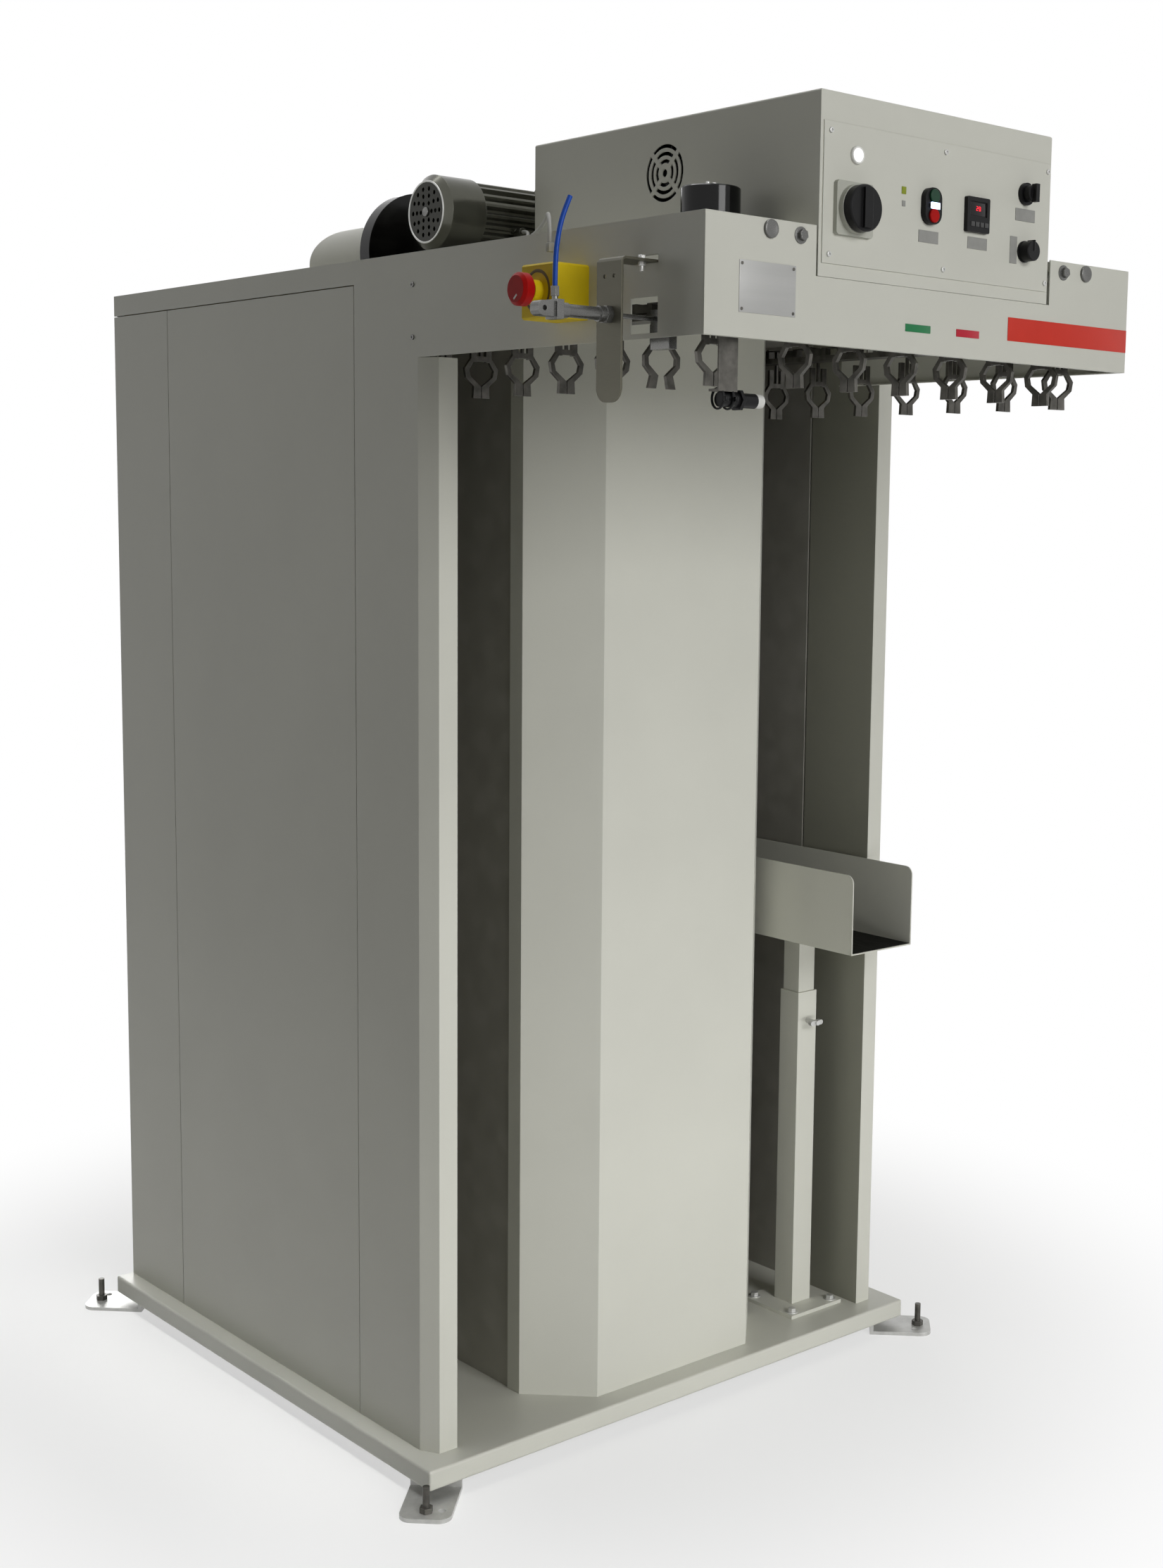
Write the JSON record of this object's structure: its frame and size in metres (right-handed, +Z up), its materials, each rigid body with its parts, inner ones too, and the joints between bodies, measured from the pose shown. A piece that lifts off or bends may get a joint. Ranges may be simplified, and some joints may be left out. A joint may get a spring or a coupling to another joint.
{
  "type": "drying oven",
  "caption": "Clip-conveyor drying oven: insulated cabinet with a hot-air column, overhanging chain header, control box, blower motor, delivery chute and floor tray.",
  "frame": {"origin": "on the floor, at the centre of the rectangle of free anchor holes in the four feet", "axes": "+Z up, +X to the machine's right, front faces -Y"},
  "size_m": [1.1781, 1.5629, 1.91],
  "materials": {
    "cream_paint": "fine powder coat",
    "galvanised_sheet": "dull galvanised sheet",
    "mineral_wool": "matt fibre",
    "plated_steel": "zinc plated",
    "dark_steel": "blackened steel",
    "stainless_sheet": "brushed",
    "motor_aluminium": "die cast",
    "black_paint": "gloss black",
    "black_plastic": "satin",
    "grey_plastic": "satin",
    "yellow_plastic": "satin",
    "red_plastic": "gloss",
    "green_plastic": "gloss",
    "blue_hose": "satin",
    "impeller_steel": "dull"
  },
  "bodies": {
    "cabinet": {"air_hose": "blue_hose", "anchor_studs": "plated_steel", "base_tray": "cream_paint", "blower_scroll": "cream_paint", "box_fan_frame": "black_plastic", "chain_links": "dark_steel", "chain_rail": "dark_steel", "chute_post": "cream_paint", "clip_sensor": "black_plastic", "clips": "dark_steel", "column_core": "galvanised_sheet", "column_front": "cream_paint", "control_box": "cream_paint", "control_panel": "cream_paint", "drive_unit": "black_paint", "fan_drum": "black_paint", "foot_plates": "plated_steel", "header_front": "cream_paint", "header_right": "cream_paint", "header_top": "cream_paint", "insulation_slabs": "mineral_wool", "isolator_plate": "grey_plastic", "left_frame_sheet": "cream_paint", "left_side_panel": "cream_paint", "liner_sheets": "galvanised_sheet", "motor_body": "motor_aluminium", "motor_cable": "grey_plastic", "motor_cowl": "motor_aluminium", "opener_bracket": "stainless_sheet", "opener_cylinder": "motor_aluminium", "panel_bezels": "black_plastic", "pilot_lamp": "red_plastic", "rail_hangers": "plated_steel", "rear_cover": "cream_paint", "right_frame_sheet": "cream_paint", "right_side_panel": "cream_paint", "roof_hood": "cream_paint", "roof_panel": "cream_paint", "sensor_bracket": "stainless_sheet", "stop_case": "yellow_plastic", "temperature_controller": "black_plastic", "wheel_shafts": "plated_steel"},
    "drive_wheel": {"drive_wheel": "plated_steel"},
    "front_right_wheel": {"front_right_wheel": "plated_steel"},
    "rear_left_wheel": {"rear_left_wheel": "plated_steel"},
    "rear_right_wheel": {"rear_right_wheel": "plated_steel"},
    "isolator_knob": {"isolator_knob": "black_plastic"},
    "selector_knob": {"selector_knob": "black_plastic"},
    "dial_knob": {"dial_knob": "black_plastic"},
    "start_button": {"start_button": "green_plastic"},
    "stop_button": {"stop_button": "red_plastic"},
    "stop_mushroom": {"stop_mushroom": "red_plastic"},
    "box_fan_rotor": {"box_fan_rotor": "black_plastic"},
    "motor_shaft": {"motor_fan": "black_plastic", "blower_impeller": "impeller_steel"},
    "opener_rod": {"opener_rod": "plated_steel"},
    "chute": {"chute_tube": "cream_paint", "chute_channel": "cream_paint"},
    "chute_screw": {"chute_screw": "plated_steel"}
  },
  "joints": [
    {"name": "drive_wheel_spin", "type": "hinge", "parent": "cabinet", "child": "drive_wheel", "pos_m": [-0.316, -0.905, 1.66], "axis": [0, 0, 1], "continuous": true},
    {"name": "front_right_wheel_spin", "type": "hinge", "parent": "cabinet", "child": "front_right_wheel", "pos_m": [0.232, -0.905, 1.66], "axis": [0, 0, 1], "continuous": true},
    {"name": "rear_left_wheel_spin", "type": "hinge", "parent": "cabinet", "child": "rear_left_wheel", "pos_m": [-0.316, 0.23109, 1.66], "axis": [0, 0, 1], "continuous": true},
    {"name": "rear_right_wheel_spin", "type": "hinge", "parent": "cabinet", "child": "rear_right_wheel", "pos_m": [0.232, 0.23109, 1.66], "axis": [0, 0, 1], "continuous": true},
    {"name": "isolator_turn", "type": "hinge", "parent": "cabinet", "child": "isolator_knob", "pos_m": [-0.228, -0.9955, 1.774], "axis": [0, -1, 0], "range_deg": [0, 90]},
    {"name": "selector_turn", "type": "hinge", "parent": "cabinet", "child": "selector_knob", "pos_m": [0.1, -0.9955, 1.829], "axis": [0, -1, 0], "range_deg": [-45, 45]},
    {"name": "dial_turn", "type": "hinge", "parent": "cabinet", "child": "dial_knob", "pos_m": [0.101, -0.9955, 1.755], "axis": [0, -1, 0], "range_deg": [-135, 135]},
    {"name": "start_press", "type": "slide", "parent": "cabinet", "child": "start_button", "axis": [0, 1, 0], "range_m": [0, 0.003], "stiffness_N_per_m": 300},
    {"name": "stop_press", "type": "slide", "parent": "cabinet", "child": "stop_button", "axis": [0, 1, 0], "range_m": [0, 0.003], "stiffness_N_per_m": 300},
    {"name": "emergency_press", "type": "slide", "parent": "cabinet", "child": "stop_mushroom", "axis": [1, 0, 0], "range_m": [0, 0.004]},
    {"name": "box_fan_spin", "type": "hinge", "parent": "cabinet", "child": "box_fan_rotor", "pos_m": [-0.266, -0.7116, 1.842], "axis": [1, 0, 0], "continuous": true},
    {"name": "motor_spin", "type": "hinge", "parent": "cabinet", "child": "motor_shaft", "pos_m": [-0.26, -0.319, 1.82], "axis": [1, 0, 0], "continuous": true},
    {"name": "opener_push", "type": "slide", "parent": "cabinet", "child": "opener_rod", "axis": [1, 0, 0], "range_m": [0, 0.033]},
    {"name": "chute_height", "type": "slide", "parent": "cabinet", "child": "chute", "axis": [0, 0, 1], "range_m": [-0.06, 0.09]},
    {"name": "clamp_turn", "type": "hinge", "parent": "cabinet", "child": "chute_screw", "pos_m": [0.3445, -0.4, 0.553], "axis": [0, -1, 0], "range_deg": [-180, 180]}
  ],
  "couplings": [
    {"joint": "front_right_wheel_spin", "follows": "drive_wheel_spin", "ratio": 1},
    {"joint": "rear_left_wheel_spin", "follows": "drive_wheel_spin", "ratio": 1},
    {"joint": "rear_right_wheel_spin", "follows": "drive_wheel_spin", "ratio": 1}
  ]
}
